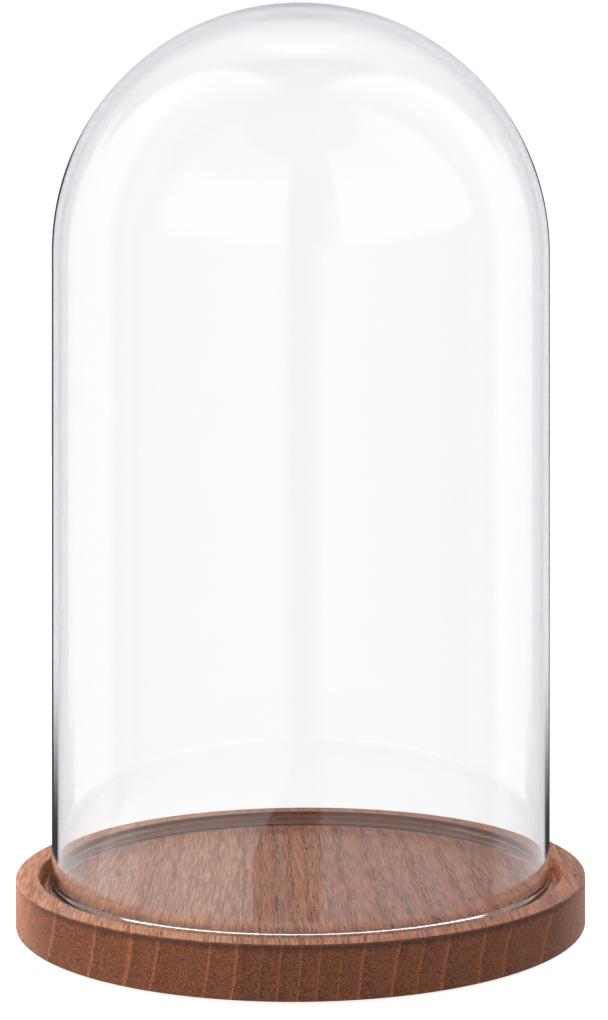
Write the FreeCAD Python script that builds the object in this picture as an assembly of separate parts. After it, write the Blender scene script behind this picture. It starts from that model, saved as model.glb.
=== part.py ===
import FreeCAD, Part
import math
import os

from FreeCAD import Vector

# Bell jar dome: a clear blown-glass bell that stands loose in a round recess turned into a
# wooden base. Millimetres. +Z is up, and the origin is on the axis, on the surface that the
# foot pads stand on. The grain and the glue line of the base run along Y.

# Wooden base
rim_width = 9.4  # of the flat rim around the recess
base_thickness = 19.3
base_edge_round = 0.8
stave_joint_x = -23.5  # the glue line between the two staves

# Recess in the base: the dome stands in it, and its floor is the display floor
recess_depth = 5.8
recess_edge_round = 1.0

# Glass dome: a straight bell with a hemispherical crown and a rolled, flared rim
dome_diameter = 197.4
dome_height = 347.9
wall_thickness = 2.5
crown_thickness = 3.2
rim_thickness = 3.8
rim_flare = 1.4  # how far the rim stands out past the wall
flare_height = 6.0

# Felt foot pads, on a circle under the base
pad_diameter = 20.0
pad_thickness = 1.0
pad_inset = 10.0  # from the edge of the base to the edge of a pad
pad_angles = {"foot_pad_right": 0.0, "foot_pad_back_left": 120.0, "foot_pad_front_left": 240.0}

# Clearances
seat_clearance = 3.0  # from the rim of the dome to the wall of the recess
rest_gap = 0.2  # under the rim of the dome

# Worked out from the sizes above
dome_radius = dome_diameter / 2
recess_radius = dome_radius + rim_flare + seat_clearance
base_radius = recess_radius + rim_width
base_bottom = pad_thickness
base_top = base_bottom + base_thickness
recess_floor = base_top - recess_depth
dome_bottom = recess_floor + rest_gap


def at(radius, height):
    """A point of a profile, which is drawn in the XZ plane and turned about Z."""
    return Vector(radius, 0, height)


def line(start, end):
    return Part.makeLine(start, end)


def arc(start, middle, end):
    return Part.Arc(start, middle, end).toShape()


def quarter_round(corner, into, towards, radius):
    """The arc that rounds a square corner, from the side that lies along into to the side
    that lies along towards. Both are unit vectors that point away from the corner."""
    start = corner + into * radius
    end = corner + towards * radius
    centre = start + towards * radius
    outwards = (corner - centre).normalize()
    return arc(start, centre + outwards * radius, end)


def turned(edges):
    """The solid that a closed profile makes when it is turned about Z."""
    profile = Part.Face(Part.Wire(edges))
    return profile.revolve(Vector(0, 0, 0), Vector(0, 0, 1), 360)


def whole_base():
    """The turned disc with its recess, before it is divided into staves."""
    inwards, outwards, up, down = Vector(-1, 0, 0), Vector(1, 0, 0), Vector(0, 0, 1), Vector(0, 0, -1)
    low = at(base_radius, base_bottom)
    high = at(base_radius, base_top)
    mouth = at(recess_radius, base_top)
    return turned([
        line(at(0, base_bottom), low + inwards * base_edge_round),
        quarter_round(low, inwards, up, base_edge_round),
        line(low + up * base_edge_round, high + down * base_edge_round),
        quarter_round(high, down, inwards, base_edge_round),
        line(high + inwards * base_edge_round, mouth + outwards * recess_edge_round),
        quarter_round(mouth, outwards, down, recess_edge_round),
        line(mouth + down * recess_edge_round, at(recess_radius, recess_floor)),
        line(at(recess_radius, recess_floor), at(0, recess_floor)),
        line(at(0, recess_floor), at(0, base_bottom)),
    ])


def stave(base, low_x, high_x):
    """The part of the base that lies between two planes across X."""
    blank = Part.makeBox(high_x - low_x, 2 * base_radius, base_top, Vector(low_x, -base_radius, 0))
    return base.common(blank)


def touch_point(point, centre, radius, side):
    """Where a straight line from a point touches a circle. The side is 1 for the touch point
    that lies clockwise from the point, and -1 for the other one."""
    to_point = point - centre
    direction = math.atan2(to_point.z, to_point.x)
    angle = direction - side * math.acos(radius / to_point.Length)
    return centre + Vector(math.cos(angle), 0, math.sin(angle)) * radius


def glass_dome():
    """The bell, in one turned profile: outside, rolled rim, inside. The inner crown has its
    centre lower than the outer one, so that the glass thickens evenly towards the top."""
    inner_radius = dome_radius - wall_thickness
    springing = dome_bottom + dome_height - dome_radius
    inner_springing = springing - (crown_thickness - wall_thickness)
    flare_top = dome_bottom + flare_height
    half_way = math.sqrt(0.5)

    rim_radius = rim_thickness / 2
    rim_centre = at(dome_radius + rim_flare - rim_radius, dome_bottom + rim_radius)
    outer_touch = touch_point(at(dome_radius, flare_top), rim_centre, rim_radius, 1)
    inner_touch = touch_point(at(inner_radius, flare_top), rim_centre, rim_radius, -1)

    outer_crown = arc(
        at(0, springing + dome_radius),
        at(dome_radius * half_way, springing + dome_radius * half_way),
        at(dome_radius, springing),
    )
    inner_crown = arc(
        at(inner_radius, inner_springing),
        at(inner_radius * half_way, inner_springing + inner_radius * half_way),
        at(0, inner_springing + inner_radius),
    )
    return turned([
        outer_crown,
        line(at(dome_radius, springing), at(dome_radius, flare_top)),
        line(at(dome_radius, flare_top), outer_touch),
        arc(outer_touch, rim_centre + Vector(0, 0, -rim_radius), inner_touch),
        line(inner_touch, at(inner_radius, flare_top)),
        line(at(inner_radius, flare_top), at(inner_radius, inner_springing)),
        inner_crown,
        line(at(0, inner_springing + inner_radius), at(0, springing + dome_radius)),
    ])


def foot_pad(angle):
    """One round pad under the base, at an angle in degrees from +X."""
    turn = math.radians(angle)
    reach = base_radius - pad_inset - pad_diameter / 2
    centre = Vector(reach * math.cos(turn), reach * math.sin(turn), 0)
    return Part.makeCylinder(pad_diameter / 2, pad_thickness, centre)


def main():
    base = whole_base()
    parts = {
        "glass_dome": glass_dome(),
        "base_stave_left": stave(base, -base_radius, stave_joint_x),
        "base_stave_right": stave(base, stave_joint_x, base_radius),
    }
    for name, angle in pad_angles.items():
        parts[name] = foot_pad(angle)

    os.makedirs("parts", exist_ok=True)
    for name, shape in parts.items():
        shape.exportStep(f"parts/{name}.step")
        box = shape.BoundBox
        print(f"{name}: {shape.Volume / 1000:.2f} cm3, z {box.ZMin:.2f} to {box.ZMax:.2f}")


main()
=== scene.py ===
# %% [markdown]
# # A glass bell jar on a turned wooden base
#
# This lesson dresses a measured CAD model. The CAD file already says where every piece is and
# how large it is, so nothing here is placed by eye: each piece is modelled to the box of the
# CAD node that it stands for. There are three kinds of thing to make: one blown-glass bell,
# two glued staves of stained wood, and three felt pads that the base stands on.

# %% Load the CAD model
import math

import bpy
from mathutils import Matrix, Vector


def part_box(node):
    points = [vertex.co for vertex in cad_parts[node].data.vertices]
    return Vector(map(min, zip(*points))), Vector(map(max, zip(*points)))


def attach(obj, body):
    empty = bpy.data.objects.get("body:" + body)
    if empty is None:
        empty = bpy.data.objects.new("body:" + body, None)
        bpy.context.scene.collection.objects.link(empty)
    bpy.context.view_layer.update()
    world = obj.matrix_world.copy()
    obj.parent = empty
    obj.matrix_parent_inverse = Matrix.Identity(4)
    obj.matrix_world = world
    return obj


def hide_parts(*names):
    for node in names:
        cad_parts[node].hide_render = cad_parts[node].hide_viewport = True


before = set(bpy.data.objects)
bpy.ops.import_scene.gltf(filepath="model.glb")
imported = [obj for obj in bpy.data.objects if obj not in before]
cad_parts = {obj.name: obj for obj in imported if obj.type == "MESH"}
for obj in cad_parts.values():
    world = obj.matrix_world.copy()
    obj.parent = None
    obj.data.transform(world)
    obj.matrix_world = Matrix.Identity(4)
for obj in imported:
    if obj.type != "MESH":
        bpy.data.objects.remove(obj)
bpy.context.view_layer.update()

mm = 0.001

# %% [markdown]
# ## The camera
#
# A camera that looks level keeps upright edges upright, which matters for a tall straight
# object such as this one. A level camera would cut the base off, so the picture is shifted in
# the camera instead of tilting it, as on a view camera. A longish lens from 70 cm away gives
# the gentle ellipses of the rim. The grain of the base runs along Y, and the camera looks
# three degrees to the right of it, because the base was put down slightly turned.

# %% Put up the camera
camera_place = Vector((-17.7, -698.4, 188.3)) * mm
camera_turn = math.radians(-2.95)

bpy.ops.object.camera_add(location=camera_place, rotation=(math.radians(90), 0, camera_turn))
camera = bpy.context.object
camera.name = "camera"
camera.data.lens = 61.57
camera.data.shift_x = -0.0425
camera.data.shift_y = -0.0637
bpy.context.scene.camera = camera
print("camera is", round(camera.location.length / mm), "mm from the middle of the base")

# %% [markdown]
# ## Sizes
#
# The boxes of the CAD nodes give the outside of each piece. A few sizes inside them, such as
# the wall of the glass, can't be read from a box, so they are named here once.

# %% Read the sizes
glass_low, glass_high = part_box("glass_dome")
left_low, left_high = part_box("base_stave_left")
right_low, right_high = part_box("base_stave_right")

base_radius = right_high.x
base_bottom = right_low.z
base_top = right_high.z
glue_line = right_low.x
edge_round = 0.8 * mm

rim_reach = glass_high.x
rest_gap = 0.2 * mm
floor_height = glass_low.z - rest_gap
recess_radius = rim_reach + 3.0 * mm
recess_edge_round = 1.0 * mm

rim_flare = 1.4 * mm
flare_height = 6.0 * mm
rim_thickness = 3.8 * mm
wall = 2.5 * mm
crown_wall = 3.2 * mm
bell_radius = rim_reach - rim_flare
springing = glass_high.z - bell_radius
print("bell radius", round(bell_radius / mm, 2), "springing at", round(springing / mm, 1), "mm")
recess_depth = base_top - floor_height
print("recess radius", round(recess_radius / mm, 2), "depth", round(recess_depth / mm, 2))

# %% [markdown]
# ## Turning a section into a solid
#
# The bell was blown and spun, and the base was turned on a lathe, so both are round about one
# axis. Such a shape could start from a cylinder, but then every change of radius costs a loop
# cut. It is simpler to do what a lathe does: draw half of the section once, and spin it. The
# section starts as a small plane whose corners are merged to one point. That point is extruded
# along the outline, and the outline is spun a full turn. Points that land on the axis meet
# there, so doubles are merged before the normals are made to agree.

# %% A helper that turns a section
spin_steps = 256
same_place = 0.001 * mm


def arc_points(centre, radius, start, end, count):
    """Points on an arc, after its first one. Angles are in degrees, and 0 is outwards."""
    points = []
    for step in range(1, count + 1):
        angle = math.radians(start + (end - start) * step / count)
        points.append(centre + Vector((math.cos(angle), 0, math.sin(angle))) * radius)
    return points


def point(radius, height):
    """A point of a section, which is drawn in the XZ plane."""
    return Vector((radius, 0, height))


def turned(name, section):
    """A round solid from half of its section, whose first and last points are on the axis."""
    bpy.ops.object.select_all(action="DESELECT")
    bpy.ops.mesh.primitive_plane_add(size=mm, location=section[0])
    piece = bpy.context.object
    piece.name = name
    bpy.ops.object.transform_apply(location=True, rotation=True, scale=True)
    bpy.ops.object.mode_set(mode="EDIT")
    bpy.ops.mesh.select_mode(type="VERT")
    bpy.ops.mesh.select_all(action="SELECT")
    bpy.ops.mesh.merge(type="CENTER")
    for here, there in zip(section, section[1:]):
        bpy.ops.mesh.extrude_vertices_move(TRANSFORM_OT_translate={"value": there - here})
    bpy.ops.mesh.select_all(action="SELECT")
    bpy.ops.mesh.spin(steps=spin_steps, angle=math.tau, center=(0, 0, 0), axis=(0, 0, 1))
    bpy.ops.mesh.select_all(action="SELECT")
    bpy.ops.mesh.remove_doubles(threshold=same_place)
    bpy.ops.mesh.normals_make_consistent(inside=False)
    bpy.ops.object.mode_set(mode="OBJECT")
    return piece


def say(piece):
    """Prints the size of a finished piece."""
    sizes = " x ".join(f"{side / mm:.1f}" for side in piece.dimensions)
    print(f"{piece.name}: {sizes} mm, {len(piece.data.polygons)} faces")


# %% [markdown]
# ## The wooden base
#
# A board is glued up from two staves, a disc is turned from it, and a shallow flat recess is
# turned into the top for the glass to stand in. Every edge is broken a little, because a sharp
# edge on wood neither lasts nor catches light. The whole disc is turned here too, from a
# section with a short arc at each edge. A bevel would round the edges as well, but it would
# have to find them first among all the edges of the disc.

# %% Turn the whole disc
corner_points = 5
edge_low = point(base_radius - edge_round, base_bottom + edge_round)
edge_high = point(base_radius - edge_round, base_top - edge_round)
recess_edge = point(recess_radius + recess_edge_round, base_top - recess_edge_round)

base_section = [point(0, base_bottom), point(base_radius - edge_round, base_bottom)]
base_section += arc_points(edge_low, edge_round, -90, 0, corner_points)
base_section += [point(base_radius, base_top - edge_round)]
base_section += arc_points(edge_high, edge_round, 0, 90, corner_points)
base_section += [point(recess_radius + recess_edge_round, base_top)]
base_section += arc_points(recess_edge, recess_edge_round, 90, 180, corner_points)
base_section += [point(recess_radius, floor_height), point(0, floor_height)]

disc = turned("disc", base_section)
say(disc)

# %% [markdown]
# ## The two staves
#
# The board is glued first and turned after, so the two staves share one outline. That order
# works here too: a copy of the disc for each stave is bisected by an upright plane at the glue
# line, one side of it is cleared, and the cut is filled to close the solid. Modelling two part
# discs directly would leave their outlines free to differ.


# %% Saw the disc into staves at the glue line
def stave(name, keeps_right):
    """The part of the disc on one side of the glue line, with the cut closed."""
    bpy.ops.object.select_all(action="DESELECT")
    disc.select_set(True)
    bpy.context.view_layer.objects.active = disc
    bpy.ops.object.duplicate()
    piece = bpy.context.object
    piece.name = name
    bpy.ops.object.mode_set(mode="EDIT")
    bpy.ops.mesh.select_all(action="SELECT")
    bpy.ops.mesh.bisect(
        plane_co=(glue_line, 0, 0),
        plane_no=(1, 0, 0),
        use_fill=True,
        clear_inner=keeps_right,
        clear_outer=not keeps_right,
    )
    bpy.ops.object.mode_set(mode="OBJECT")
    bpy.ops.object.shade_smooth_by_angle(angle=math.radians(30))
    return piece


left_stave = stave("left_stave", False)
right_stave = stave("right_stave", True)
bpy.data.objects.remove(disc)
say(left_stave)
say(right_stave)

# %% [markdown]
# ## The glass bell
#
# The real bell is a tube of blown glass whose top was closed and rounded in the flame, and
# whose open end was heated until the rim rolled into a bead and opened a little. Glass shows
# every fault of its section, since light bends at both surfaces, so the section has many
# points: the wall must be truly parallel, and the rim truly round. The closed top is a little
# thicker than the wall, and thickest in the very middle, where the glass gathered as it
# closed. That makes a weak lens at the top of the bell, as on the real one.
#
# Two curves of the section aren't arcs, so each has a helper: the flare, which leaves the wall
# and meets the bead upright, and the inner crown with its gather.

# %% Helpers for the curves of the bell
gather = 0.8 * mm
gather_reach = 30 * mm
inner_radius = bell_radius - wall
inner_springing = springing - (crown_wall - wall)
print("inside of the bell", round(2 * inner_radius / mm, 1), "mm across")


def ease(share):
    """0 to 1 with a level start and end."""
    return share * share * (3 - 2 * share)


def flare(start, end, count):
    """Points from one place to another, with both ends of the curve upright."""
    steps = [step / count for step in range(1, count + 1)]
    wide, high = end.x - start.x, end.z - start.z
    return [point(start.x + wide * ease(step), start.z + high * step) for step in steps]


def inner_crown(count):
    """Points of the inner crown, from the wall to the axis, where the gather hangs lowest."""
    points = []
    for step in range(1, count + 1):
        angle = math.radians(90 * step / count)
        across = inner_radius * math.cos(angle)
        hang = gather * math.exp(-((across / gather_reach) ** 2) * 3)
        points.append(point(across, inner_springing + inner_radius * math.sin(angle) - hang))
    return points


# %% [markdown]
# ## From the section to the bell
#
# The section runs down the outside, round the bead and up the inside, so that the spun bell is
# one closed solid with a real wall. A Solidify modifier would also give a thin sheet a wall,
# but an even one, without bead or gather. Smooth shading blends the direction of the surface
# over each face. On a tall wall with few loops that blend would bend the view through the
# glass, so there are extra loops next to each bend to keep the wall straight.

# %% Draw the section of the bell and turn it
crown_points = 72
flare_points = 14
bead_points = 20
flare_top = glass_low.z + flare_height
bead_radius = rim_thickness / 2
bead_centre = point(rim_reach - bead_radius, glass_low.z + bead_radius)

wall_loops = [flare_top, flare_top + 0.3 * mm, flare_top + 1.5 * mm, flare_top + 8 * mm]
wall_loops += [springing - 8 * mm, springing - 1.5 * mm]
bead_out = bead_centre + Vector((bead_radius, 0, 0))
bead_in = bead_centre - Vector((bead_radius, 0, 0))
bell_section = [point(0, glass_high.z)]
bell_section += arc_points(point(0, springing), bell_radius, 90, 0, crown_points)
bell_section += [point(bell_radius, height) for height in wall_loops[::-1]]
bell_section += flare(point(bell_radius, flare_top), bead_out, flare_points)
bell_section += arc_points(bead_centre, bead_radius, 0, -180, bead_points)
bell_section += flare(bead_in, point(inner_radius, flare_top), flare_points)
bell_section += [point(inner_radius, height) for height in wall_loops[1:]]
bell_section += [point(inner_radius, inner_springing)]
bell_section += inner_crown(crown_points)
bell_section[-1].x = 0

bell = turned("glass_bell", bell_section)
bpy.ops.object.shade_smooth()
say(bell)

# %% [markdown]
# ## The felt pads
#
# Three discs of felt are stuck under the base. Punched felt has a slightly crushed edge, and a
# thin pad bulges a little where the weight squeezes it. A cylinder of many sides is added at
# the size of each pad, and its two rims are bevelled round.


# %% Punch the pads
def felt_pad(name, node):
    """A round pad that fills the box of its CAD node, with soft edges."""
    low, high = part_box(node)
    middle, size = (low + high) / 2, high - low
    bpy.ops.object.select_all(action="DESELECT")
    bpy.ops.mesh.primitive_cylinder_add(
        vertices=72, radius=size.x / 2, depth=size.z, end_fill_type="NGON", location=middle
    )
    piece = bpy.context.object
    piece.name = name
    bpy.ops.object.transform_apply(location=True, rotation=True, scale=True)
    bevel = piece.modifiers.new("soft edge", "BEVEL")
    bevel.width = size.z * 0.3
    bevel.segments = 4
    bevel.limit_method = "ANGLE"
    bpy.ops.object.modifier_apply(modifier=bevel.name)
    bpy.ops.object.shade_smooth_by_angle(angle=math.radians(40))
    say(piece)
    return piece


pad_nodes = ["foot_pad_right", "foot_pad_back_left", "foot_pad_front_left"]
pads = {node: felt_pad(node.replace("foot", "felt"), node) for node in pad_nodes}

# %% [markdown]
# ## Writing shaders as sums
#
# A wood shader is mostly arithmetic: how far is this point from the heart of the tree, which
# ring is it in, how much does the stain soak in here. Wired by hand that takes a hundred Math
# nodes that nobody can read. So a small class holds one output socket and lets Python's own
# operators add the Math nodes: `1 - mask` makes a Subtract node.


# %% A socket that can be added up
class Wire:
    """One output socket in a node tree. Sums on it add Math nodes."""

    def __init__(self, tree, socket):
        self.tree = tree
        self.socket = socket

    def output(self, name):
        """Another output of the same node."""
        return Wire(self.tree, self.socket.node.outputs[name])

    def maths(self, operation, *values, clamp=False):
        settings = {"operation": operation, "use_clamp": clamp}
        return self.tree.node("ShaderNodeMath", settings, values)

    def __add__(self, other):
        return self.maths("ADD", self, other)

    def __sub__(self, other):
        return self.maths("SUBTRACT", self, other)

    def __rsub__(self, other):
        return self.maths("SUBTRACT", other, self)

    def __mul__(self, other):
        return self.maths("MULTIPLY", self, other)

    def __truediv__(self, other):
        return self.maths("DIVIDE", self, other)

    def __pow__(self, other):
        return self.maths("POWER", self, other)

    __radd__ = __add__
    __rmul__ = __mul__

    def less(self, other):
        return self.maths("LESS_THAN", self, other)

    def part(self):
        """What is left of the number after its whole part."""
        return self.maths("FRACT", self)

    def size(self):
        return self.maths("ABSOLUTE", self)

    def held(self):
        """The number kept between 0 and 1."""
        return self.maths("ADD", self, 0, clamp=True)


print("sums on sockets add Math nodes")

# %% [markdown]
# ## One method for every other node
#
# Textures, colours and shaders aren't sums. Each of their nodes comes from one method that
# takes the node's type, its settings, and what goes into its sockets: a plain value, or the
# output of another node. Short methods on top of it name the few nodes that are used a lot.


# %% A node tree to build on
class Tree:
    """The node tree of one material or world."""

    def __init__(self, owner):
        owner.use_nodes = True
        self.tree = owner.node_tree
        self.tree.nodes.clear()

    def node(self, kind, settings=None, sockets=(), out=0):
        """Adds a node: settings first, then its sockets by number or by name. Gives one output."""
        made = self.tree.nodes.new(kind)
        for name, value in (settings or {}).items():
            setattr(made, name, value)
        pairs = sockets.items() if isinstance(sockets, dict) else enumerate(sockets)
        for key, value in pairs:
            if isinstance(value, Wire):
                self.tree.links.new(value.socket, made.inputs[key])
            else:
                made.inputs[key].default_value = value
        return Wire(self, made.outputs[out]) if len(made.outputs) else None

    def ramp(self, value, start, end):
        """0 before start, 1 after end, and a soft step between them."""
        sockets = {"Value": value, "From Min": start, "From Max": end}
        return self.node("ShaderNodeMapRange", {"interpolation_type": "SMOOTHSTEP"}, sockets)

    def mix(self, share, first, second):
        """A colour between two colours."""
        settings = {"data_type": "RGBA"}
        return self.node("ShaderNodeMix", settings, {0: share, 6: first, 7: second}, out=2)

    def vector(self, x, y, z):
        return self.node("ShaderNodeCombineXYZ", {}, (x, y, z))

    def grain(self, across, along, up, width, length, seed):
        """A place in wood, counted in marks of this width and length."""
        return self.vector(across / width + seed, along / length, up / width)

    def noise(self, place, detail=2.0, roughness=0.5, distortion=0.0):
        sockets = {"Vector": place, "Scale": 1.0, "Detail": detail, "Roughness": roughness}
        sockets["Distortion"] = distortion
        return self.node("ShaderNodeTexNoise", {"noise_dimensions": "3D"}, sockets)


def new_finish(name):
    """A new material, and the tree to build it in."""
    material = bpy.data.materials.new(name)
    return material, Tree(material)


print("shader helpers are ready")

# %% [markdown]
# ## Stained wood: rings
#
# The pattern is worked out in space and not painted on a face, so that a line on the top runs
# on over the edge and down the side, as a real ring does. The rings are round about the heart
# of the tree, a line along Y somewhere beside the stave. A wave texture in ring mode would
# draw them too, but its rings are all alike. Here the distance to the heart is turned into a
# count of rings, and the count is made uneven, as good and bad years make it. What is left of
# the count after its whole part says how far through its ring a point is.


# %% Find the ring that a point is in
def wood_places(tree, seed):
    """Millimetre coordinates on the piece: across, along and up the stave."""
    place = tree.node("ShaderNodeTexCoord", out="Object")
    split = tree.node("ShaderNodeSeparateXYZ", {}, (place,))
    across, along, up = (split.output(axis) / mm for axis in "XYZ")
    drift = tree.noise(tree.grain(across, along, up, 55, 110, seed), detail=1.0)
    drift_swing = 5
    return across + (drift - 0.5) * drift_swing, along, up


def ring_share(tree, across, up, heart, spacing, widening):
    """How far through its ring a point is, from 0 where the dark wood starts to 1."""
    sideways, above = across - heart[0], up - heart[1]
    reach = (sideways * sideways + above * above) ** 0.5
    if widening:
        # Rings that are wide near the heart and narrow far from it.
        width = spacing + (abs(glue_line / mm - heart[0]) - reach) * widening
        count = tree.node("ShaderNodeMath", {"operation": "LOGARITHM"}, (width, math.e)) / widening
    else:
        count = reach / spacing
    uneven = tree.noise(tree.vector(count * 0.9, 3.1, 7.7), detail=0.0)
    return (count + (uneven - 0.5) * 0.9).part()


print("rings are counted from the heart of the tree, in millimetres")

# %% [markdown]
# ## Stained wood: fibres and pores
#
# Wood is a bundle of long tubes that run along Y. So each mark is a noise in coordinates that
# are divided by the width of the mark across the grain, and by its length along the grain.
# Where the fibres are cut across, the same noise shows as dots and curls. Pores are the open
# ends and sides of the widest tubes. They crowd together where a ring starts.


# %% Draw the marks of the grain
def grain_marks(tree, across, along, up, ring, seed, pores):
    """The marks that show on a cut: fine fibres, broad streaks, curls of end grain and pores."""
    # Fibres wave a little from side to side as they run along.
    wave = tree.noise(tree.grain(across, along, up, 2.6, 7, seed), detail=1.0)
    waved = across + (wave - 0.5) * 1.3
    fibre = tree.noise(tree.vector(waved / 0.44, along / 16, up / 0.44 + seed), detail=2.0)
    streak = tree.noise(tree.grain(waved, along, up, 3.4, 120, seed), detail=2.0)
    curl_place = tree.vector(across / 1.3, along / 6, up / 0.95)
    curl = tree.noise(curl_place, detail=2.0, distortion=2.6)

    # A pore is a long thin tube, so it is a spot in coordinates that are shrunk along Y.
    cell = tree.grain(waved, along, up, 1.25, 7.5, seed)
    sockets = {"Vector": cell, "Scale": 1.0}
    spot = tree.node("ShaderNodeTexVoronoi", {"feature": "F1"}, sockets, "Distance")
    open_ring = 1 - tree.ramp(ring, 0.05, 0.55) + tree.ramp(ring, 0.86, 0.95)
    crowd = tree.noise(tree.grain(across, along, up, 9, 30, seed), detail=1.0)
    pore_size = 0.10 + open_ring * 0.14 * pores + (crowd - 0.5) * 0.25
    pore = 1 - tree.ramp(spot, pore_size * 0.6, pore_size + 0.04)
    return fibre, streak, curl, pore


print("marks of the grain are ready")

# %% [markdown]
# ## Stained wood: two kinds of cut
#
# Stain soaks into wood through its open tubes. A cut along the grain opens few of them and
# stays light, with warm bands, cool grey bands where a ring starts, and pale and deep fibres.
# A cut across the grain opens all of them and goes dark brown, and only the dense thin end of
# each ring stays light. That makes the front of the base much darker than its top. Each cut
# has its own colours, built up in layers as a painter would: ground, bands, fibres, pores.


# %% Colour both cuts
def long_grain_colour(tree, ring, fibre, streak, pore, tones):
    """The colour of wood that is cut along its fibres."""
    warm = tree.ramp(ring, 0.62, 0.97) + (1 - tree.ramp(ring, 0.0, 0.1)) * 0.9
    cool = tree.ramp(ring, 0.04, 0.14) * (1 - tree.ramp(ring, 0.2, 0.5))
    cool = cool * tree.ramp(streak, 0.42, 0.62)
    colour = tree.mix((warm * (0.6 + streak * 0.8)).held(), tones["tan"], tones["orange"])
    colour = tree.mix(cool.held(), colour, tones["lilac"])
    colour = tree.mix(tree.ramp(fibre, 0.52, 0.60) * 0.85, colour, tones["pale"])
    colour = tree.mix((1 - tree.ramp(fibre, 0.38, 0.46)) * 0.85, colour, tones["deep"])
    return tree.mix(pore * 0.72, colour, tones["pore"])


def end_grain_colour(tree, ring, streak, curl, pore, tones):
    """The colour of wood that is cut across its fibres."""
    light_line = tree.ramp(ring, 0.88, 0.96) * (1 - tree.ramp(ring, 0.975, 1.0) * 0.4)
    dark_start = 1 - tree.ramp(ring, 0.0, 0.6)
    colour = tree.mix(dark_start * 0.75, tones["end"], tones["end dark"])
    colour = tree.mix((light_line * (0.75 + streak * 0.5)).held(), colour, tones["end line"])
    colour = tree.mix(tree.ramp(curl, 0.50, 0.56) * 0.9, colour, tones["end pale"])
    colour = tree.mix((1 - tree.ramp(curl, 0.41, 0.47)) * 0.9, colour, tones["end dark"])
    return tree.mix((pore * 0.65).held(), colour, tones["pore"])


def dark_band_under_edge(tree, across, along, up):
    """A dark ragged band just under the top edge."""
    ragged = tree.noise(tree.vector(across / 1.6, along / 1.6, up / 9), detail=2.0)
    from_top = base_top / mm - up
    band = (1 - tree.ramp(from_top - ragged * 3.2, -0.6, 1.6)) * tree.ramp(from_top, 0.3, 0.7)
    return (band * 0.7).held()


print("long grain and end grain have their colours")

# %% [markdown]
# ## Stained wood: the finish
#
# The direction of the surface decides between the two cuts: what faces front or back is end
# grain. Semi-gloss lacquer lies over the stain, so the wood is fairly rough with a very thin
# coat, and duller on the end grain, which drinks the lacquer too. Fibres, curls and pores also
# go to a Bump node, so that the lamp rakes over them.


# %% Put the finish together
def stained_wood(name, seed, heart, spacing, widening, tones, pores):
    """A stave's finish. Tones are the colours of its long grain and of its end grain."""
    material, tree = new_finish(name)
    across, along, up = wood_places(tree, seed)
    ring = ring_share(tree, across, up, heart, spacing, widening)
    fibre, streak, curl, pore = grain_marks(tree, across, along, up, ring, seed, pores)

    facing = tree.node("ShaderNodeTexCoord", out="Normal")
    front_or_back = tree.node("ShaderNodeSeparateXYZ", {}, (facing,), out="Y").size()
    end_grain = tree.ramp(front_or_back, 0.04, 0.62)

    long_grain = long_grain_colour(tree, ring, fibre, streak, pore, tones)
    cut_ends = end_grain_colour(tree, ring, streak, curl, pore, tones)
    # A dark ragged band just under the top edge darkens the end grain.
    cut_ends = tree.mix(dark_band_under_edge(tree, across, along, up), cut_ends, tones["pore"])
    colour = tree.mix(end_grain, long_grain, cut_ends)
    from_glue = (across - glue_line / mm).size()
    colour = tree.mix((1 - tree.ramp(from_glue, 0.1, 0.35)) * 0.45, colour, tones["pore"])

    roughness = 0.42 + pore * 0.25 + (fibre - 0.5) * 0.12 + end_grain * 0.16
    relief = (fibre - 0.5) * 0.25 + (curl - 0.5) * end_grain * 1.1 - pore
    sockets = {"Strength": 0.5, "Distance": 0.14 * mm, "Height": relief}
    bump = tree.node("ShaderNodeBump", {}, sockets)
    sockets = {"Base Color": colour, "Roughness": roughness.held(), "Normal": bump}
    sockets.update({"IOR": 1.45, "Specular IOR Level": 0.3})
    sockets.update({"Coat Weight": 0.06, "Coat Roughness": 0.25})
    shader = tree.node("ShaderNodeBsdfPrincipled", {}, sockets)
    tree.node("ShaderNodeOutputMaterial", {}, {"Surface": shader})
    return material


print("the wood finish is ready to use")

# %% [markdown]
# ## Stained wood: two boards
#
# The two staves come from different boards, and that is what shows the glue line. The left
# one is paler and has wide even rings. The right one is darker, and its rings get narrow at
# the glue line. A maker would turn such boards so that the rings don't run on across the
# joint, because a mismatch looks deliberate and a near match looks like a mistake.

# %% Stain the staves
left_tones = {
    "tan": (0.410, 0.169, 0.087, 1),
    "orange": (0.325, 0.101, 0.037, 1),
    "lilac": (0.315, 0.169, 0.120, 1),
    "pale": (0.592, 0.286, 0.164, 1),
    "deep": (0.191, 0.064, 0.028, 1),
    "pore": (0.035, 0.016, 0.010, 1),
    "end": (0.124, 0.034, 0.011, 1),
    "end dark": (0.074, 0.021, 0.007, 1),
    "end line": (0.343, 0.101, 0.033, 1),
    "end pale": (0.194, 0.060, 0.021, 1),
}
right_tones = {
    "tan": (0.365, 0.128, 0.064, 1),
    "orange": (0.233, 0.065, 0.021, 1),
    "lilac": (0.233, 0.130, 0.104, 1),
    "pale": (0.505, 0.206, 0.114, 1),
    "deep": (0.140, 0.047, 0.021, 1),
    "pore": (0.028, 0.013, 0.009, 1),
    "end": (0.105, 0.029, 0.010, 1),
    "end dark": (0.058, 0.017, 0.006, 1),
    "end line": (0.273, 0.079, 0.023, 1),
    "end pale": (0.163, 0.049, 0.016, 1),
}
board_middle = (base_bottom + base_top) / 2 / mm
left_heart = (-190, board_middle + 25)
right_heart = (142, board_middle - 17)
left_wood = stained_wood("stained wood, left stave", 3.7, left_heart, 13.0, 0, left_tones, 0.6)
right_wood = stained_wood("stained wood, right stave", 11.3, right_heart, 5.5, 0.077, right_tones, 1.0)
left_stave.data.materials.append(left_wood)
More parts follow.
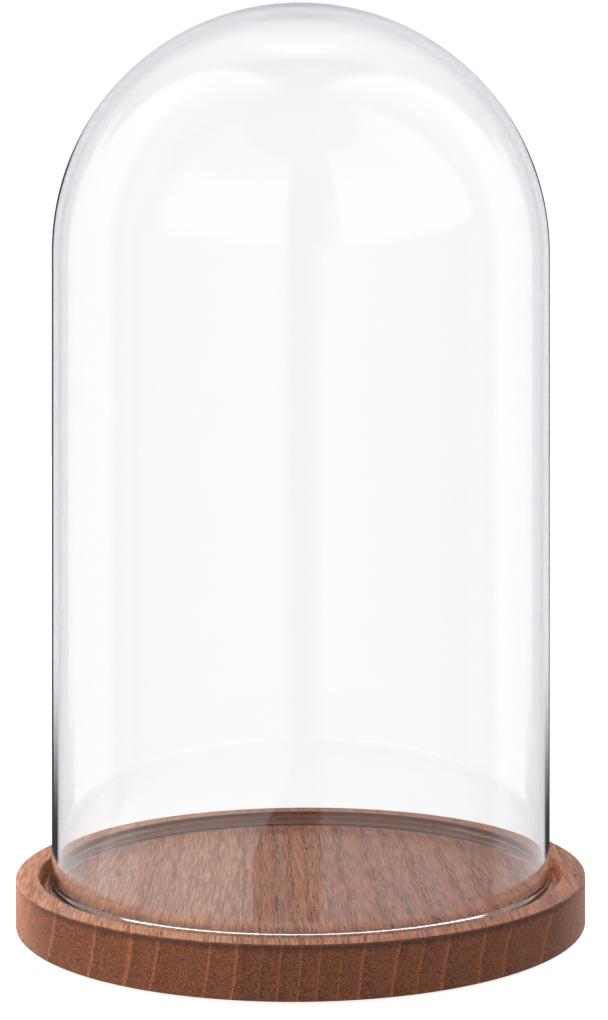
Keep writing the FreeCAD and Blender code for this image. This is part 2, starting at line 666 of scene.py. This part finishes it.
right_stave.data.materials.append(right_wood)
print("wood finishes:", left_wood.name, "and", right_wood.name)

# %% [markdown]
# ## Clear glass
#
# Clear glass is the simplest shader and the hardest to light. The Principled shader with full
# transmission bends light at each surface, and the solid wall that was modelled does the rest:
# thin dark outlines, and doubled edges at the rim. Two things are added to it.
#
# A renderer finds lamps by aiming a straight ray at them, and bending glass stops that ray, so
# anything under the bell would sit in a grainy shadow. For those rays alone the glass is plain
# transparent, which costs nothing and looks right for a thin clear wall.
#
# Glass mirrors only one ray in twenty-five, so faint reflections come out grainy too. A small
# share of plain mirror makes more rays try them, and the room that they show is made dimmer to
# match. The flared rim gets a larger share and is a little rough: flame polish leaves it less
# true than the wall, and that is what catches the strip lamp in a bright line.
#
# A little absorption inside the wall gives the sea-green of thick glass along the rim, where
# light travels far inside it.

# %% Mix the glass
mirror_share = 0.05
rim_extra_mirror = 0.17
rim_roughness = 0.09

glass, tree = new_finish("clear glass")
sockets = {"Base Color": (0.99, 0.995, 1, 1), "Roughness": 0.0}
sockets.update({"IOR": 1.5, "Transmission Weight": 1.0})
clear = tree.node("ShaderNodeBsdfPrincipled", {}, sockets)
place = tree.node("ShaderNodeTexCoord", out="Object")
up = tree.node("ShaderNodeSeparateXYZ", {}, (place,), out="Z")
on_rim = 1 - tree.ramp(up, flare_top - 0.5 * mm, flare_top)
sockets = {"Color": (1, 1, 1, 1), "Roughness": on_rim * rim_roughness}
mirror = tree.node("ShaderNodeBsdfAnisotropic", {}, sockets)
mirrors = mirror_share + on_rim * rim_extra_mirror
clear = tree.node("ShaderNodeMixShader", {}, (mirrors, clear, mirror))
open_to_lamps = tree.node("ShaderNodeBsdfTransparent", {}, {"Color": (0.97, 0.98, 0.98, 1)})
for_lamps = tree.node("ShaderNodeLightPath", out="Is Shadow Ray")
surface = tree.node("ShaderNodeMixShader", {}, (for_lamps, clear, open_to_lamps))
sockets = {"Color": (0.72, 0.90, 0.88, 1), "Density": 8.0}
tint = tree.node("ShaderNodeVolumeAbsorption", {}, sockets)
tree.node("ShaderNodeOutputMaterial", {}, {"Surface": surface, "Volume": tint})
bell.data.materials.append(glass)
print("glass finish:", glass.name)

# %% [markdown]
# ## Felt
#
# Pressed felt is a mat of short fibres with no direction. Two sizes of noise do it: a fine one
# for single fibres and a coarse one for lighter and darker tufts. Sheen gives the pale fuzz
# that felt shows at a low angle.

# %% Press the felt
felt, tree = new_finish("brown felt")
place = tree.node("ShaderNodeTexCoord", out="Object")
sockets = {"Vector": place, "Scale": 1 / mm}
in_mm = tree.node("ShaderNodeVectorMath", {"operation": "SCALE"}, sockets)
fibres = tree.noise(in_mm, detail=5.0, roughness=0.8, distortion=1.0)
tufts = tree.node("ShaderNodeTexNoise", {}, {"Vector": in_mm, "Scale": 0.35, "Detail": 2.0})
mottle = (fibres * 0.6 + tufts * 0.4).held()
colour = tree.mix(mottle, (0.05, 0.034, 0.025, 1), (0.17, 0.12, 0.09, 1))
bump = tree.node("ShaderNodeBump", {}, {"Strength": 0.7, "Distance": 0.2 * mm, "Height": fibres})
sockets = {"Base Color": colour, "Roughness": 0.95, "Normal": bump, "Sheen Weight": 0.4}
shader = tree.node("ShaderNodeBsdfPrincipled", {}, sockets)
tree.node("ShaderNodeOutputMaterial", {}, {"Surface": shader})
for pad in pads.values():
    pad.data.materials.append(felt)
print("felt finish:", felt.name)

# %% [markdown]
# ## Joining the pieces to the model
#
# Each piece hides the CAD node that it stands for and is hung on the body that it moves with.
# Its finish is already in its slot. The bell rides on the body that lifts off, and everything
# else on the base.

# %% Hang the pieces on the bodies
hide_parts("glass_dome")
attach(bell, "dome")

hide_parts("base_stave_left")
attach(left_stave, "base")

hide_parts("base_stave_right")
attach(right_stave, "base")

for node, pad in pads.items():
    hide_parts(node)
    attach(pad, "base")

# %% [markdown]
# ## The studio: directions
#
# Clear glass shows nothing but its surroundings, so the surroundings are the real subject.
# They could be built as real cards and lamps round the bell, but each of those would have to
# be hidden from the camera and would cost light rays. Instead the whole room is painted on the
# sky, and painting needs directions: how far round from the side of the camera, and how high.

# %% Work out directions in the sky
room = bpy.data.worlds.new("white studio")
bpy.context.scene.world = room
sky = Tree(room)
heading = sky.node("ShaderNodeTexCoord", out="Generated")
heading = sky.node("ShaderNodeVectorMath", {"operation": "NORMALIZE"}, {"Vector": heading})
split = sky.node("ShaderNodeSeparateXYZ", {}, (heading,))
right, away, above = (split.output(axis) for axis in "XYZ")

degrees = 180 / math.pi
from_front = sky.node("ShaderNodeMath", {"operation": "ARCTAN2"}, (right.size(), away * -1))
from_front = from_front * degrees
from_back = 180 - from_front
height = sky.node("ShaderNodeMath", {"operation": "ARCSINE"}, (above,)) * degrees
on_left = 1 - sky.ramp(right, -0.05, 0.05)


def between(value, start, end, soft):
    """1 between two values and 0 outside them, with soft edges."""
    rises = sky.ramp(value, start - soft, start + soft)
    falls = sky.ramp(value, end - soft, end + soft)
    return rises * (1 - falls)


print("directions take", len(sky.tree.nodes), "nodes")

# %% [markdown]
# ## The studio: what the glass mirrors
#
# Big soft boxes stand left and right of the camera and show up as pale sheets on the wall of
# the bell, with a darker gap between them. Near the table the left box reaches further round
# and is brighter, and veils the floor of the base. A dark card straight behind the bell gives
# the wall its darker middle. The strip lamp is for the rim alone.

# %% Paint the cards and boxes
# Angles are in degrees. Right and away run from -1 to 1, and so do all directions.
low = 1 - sky.ramp(height, -13.5, -10.5)
low_left = on_left * low
gap = 7 + low_left * 16
soft_box = sky.ramp(from_front - gap, -1, 1) * (1 - sky.ramp(from_front - low_left * 25, 78, 81))
soft_box = soft_box * (1 - sky.ramp(height, 27, 31))
soft_box = soft_box * (0.34 + on_left * 0.2) * (0.38 + low * 0.62)
beside = between(away, -0.17, 0.07, 0.02) * 0.16
over_camera = (1 - sky.ramp(away, -0.19, -0.15)) * sky.ramp(height, 27, 31) * 0.08
strip_lamp = between(height, 12, 20, 1) * (1 - sky.ramp(away, -0.1, 0)) * 6


def dark_behind(start, end):
    """A dark card straight behind the bell, wider near the table and gone near the ceiling."""
    card = (1 - sky.ramp(from_back, start, end)) * (1 - sky.ramp(height, 12, 16))
    wide_card = (1 - sky.ramp(from_back, 30, 33)) * (1 - sky.ramp(height, -12.5, -6.5))
    return (card + wide_card).held()


behind = sky.ramp(away, 0.05, 0.09) * (1 - dark_behind(18, 23))
behind = behind * (0.95 - sky.ramp(from_back, 30, 78) * 0.6)
mirrored = soft_box + behind + beside + over_camera + 0.08
print("with the cards and boxes the sky has", len(sky.tree.nodes), "nodes")

# %% [markdown]
# ## The studio: through the glass and in its edges
#
# Straight through the glass there is a white backdrop. This is called bright-field lighting. It
# gets dark toward the ceiling and the table, where only thick glass looks. Light that is caught
# in the thickness of the wall comes from far to the side, where the white ends. It draws the
# outline of the bell as a thin dark line. For views from higher up there are more such dark
# cards, one for every eighth of a turn, so that the outline never gets lost.

# %% Paint the backdrop and its edges
through = 1.30 - sky.ramp(height, 26, 44) * 0.7 - sky.ramp(height * -1, 42, 60) * 0.8

from_eighth = ((from_front / 45 + 0.5).part() - 0.5).size() * 45
dark_from_above = (1 - sky.ramp(from_eighth, 11, 14)) * (1 - sky.ramp(height, -20, -18))
behind_wall = 0.02 + (1 - dark_behind(13, 17)) * (1 - dark_from_above) * 0.78
faces_back = sky.ramp(away, 0.1, 0.2)
in_wall = faces_back * behind_wall + (1 - faces_back) * mirrored
print("with the backdrop it has", len(sky.tree.nodes), "nodes")

# %% [markdown]
# ## The studio: who sees what
#
# The Light Path node tells what has happened to a ray before it reaches the sky. A ray that
# went through glass sees the backdrop. One that was also caught in the wall sees the edges of
# it, with a trace of blue. One that was mirrored sees the cards and boxes, and if the mirror
# was a little rough, as on the rim and the lacquer, the strip lamp too. All other rays bring
# light to the wood: soft from above, and stronger from the left.

# %% Give each kind of ray its picture
lighting = 0.5 + sky.ramp(above, -0.1, 1.0) * 0.6 + sky.ramp(right * -1, -0.2, 1.0) * 0.35

rays = sky.node("ShaderNodeLightPath")
is_camera = rays.output("Is Camera Ray")
after_wood = 1 - rays.output("Diffuse Depth").less(0.5)
bounced = 1 - rays.output("Glossy Depth").less(0.5)
is_through = rays.output("Is Transmission Ray")
is_glossy = rays.output("Is Glossy Ray") * (1 - is_through)
in_and_out = rays.output("Transmission Depth").less(3)
rough_mirror = 1 - rays.output("Is Singular Ray")

sees_wall = is_through * bounced * in_and_out
sees_mirrored = is_glossy + is_through * bounced * (1 - in_and_out)
sees_through = is_through * (1 - bounced)
seen = sees_wall * in_wall + sees_mirrored * mirrored + sees_through * through
seen = seen + is_glossy * rough_mirror * strip_lamp
is_lighting = (1 - is_camera - (is_through + is_glossy) * (1 - after_wood)).held()

# A little over white, so that nothing of the room shows grey behind the bell.
camera_white = 1.15
white, cool_white = (1, 1, 1, 1), (0.90, 0.92, 1, 1)
strength = is_camera * camera_white + seen * (1 - after_wood) + is_lighting * lighting
tinted = sky.mix((sees_wall * (1 - after_wood)).held(), white, cool_white)
backdrop = sky.node("ShaderNodeBackground", {}, {"Color": tinted, "Strength": strength})
sky.node("ShaderNodeOutputWorld", {}, {"Surface": backdrop})
print("the whole room has", len(sky.tree.nodes), "nodes")

# %% [markdown]
# ## Lamp and floor
#
# One real lamp gives the wood a direction: a soft box at the left and slightly behind, close
# enough for its light to fall off across the base. The floor is a plain pale sheet that glows
# a little, as a light table does, so that it stays white right up to the base. Both are
# hidden from the glass, which has its own room to show.

# %% Hang the lamp and lay the floor
lamp_place = Vector((-0.66, 0.12, 0.40))
bpy.ops.object.light_add(type="AREA", location=lamp_place)
lamp = bpy.context.object
lamp.name = "left soft box"
lamp.data.size = 0.45
lamp.data.energy = 5.4
lamp.rotation_euler = (-lamp_place).to_track_quat("-Z", "Y").to_euler()
lamp.visible_glossy = False
lamp.visible_camera = False
lamp.visible_transmission = False

bpy.ops.mesh.primitive_plane_add(size=60, location=(0, 0, 0))
floor = bpy.context.object
floor.name = "floor"
pale, tree = new_finish("pale floor")
sockets = {"Base Color": (0.8, 0.8, 0.8, 1), "Roughness": 0.9}
sockets.update({"Emission Color": (1, 1, 1, 1), "Emission Strength": 0.75})
shader = tree.node("ShaderNodeBsdfPrincipled", {}, sockets)
tree.node("ShaderNodeOutputMaterial", {}, {"Surface": shader})
floor.data.materials.append(pale)
floor.visible_glossy = False
floor.visible_transmission = False
bpy.context.scene.view_settings.view_transform = "Standard"
print("floor and lamp are in place")
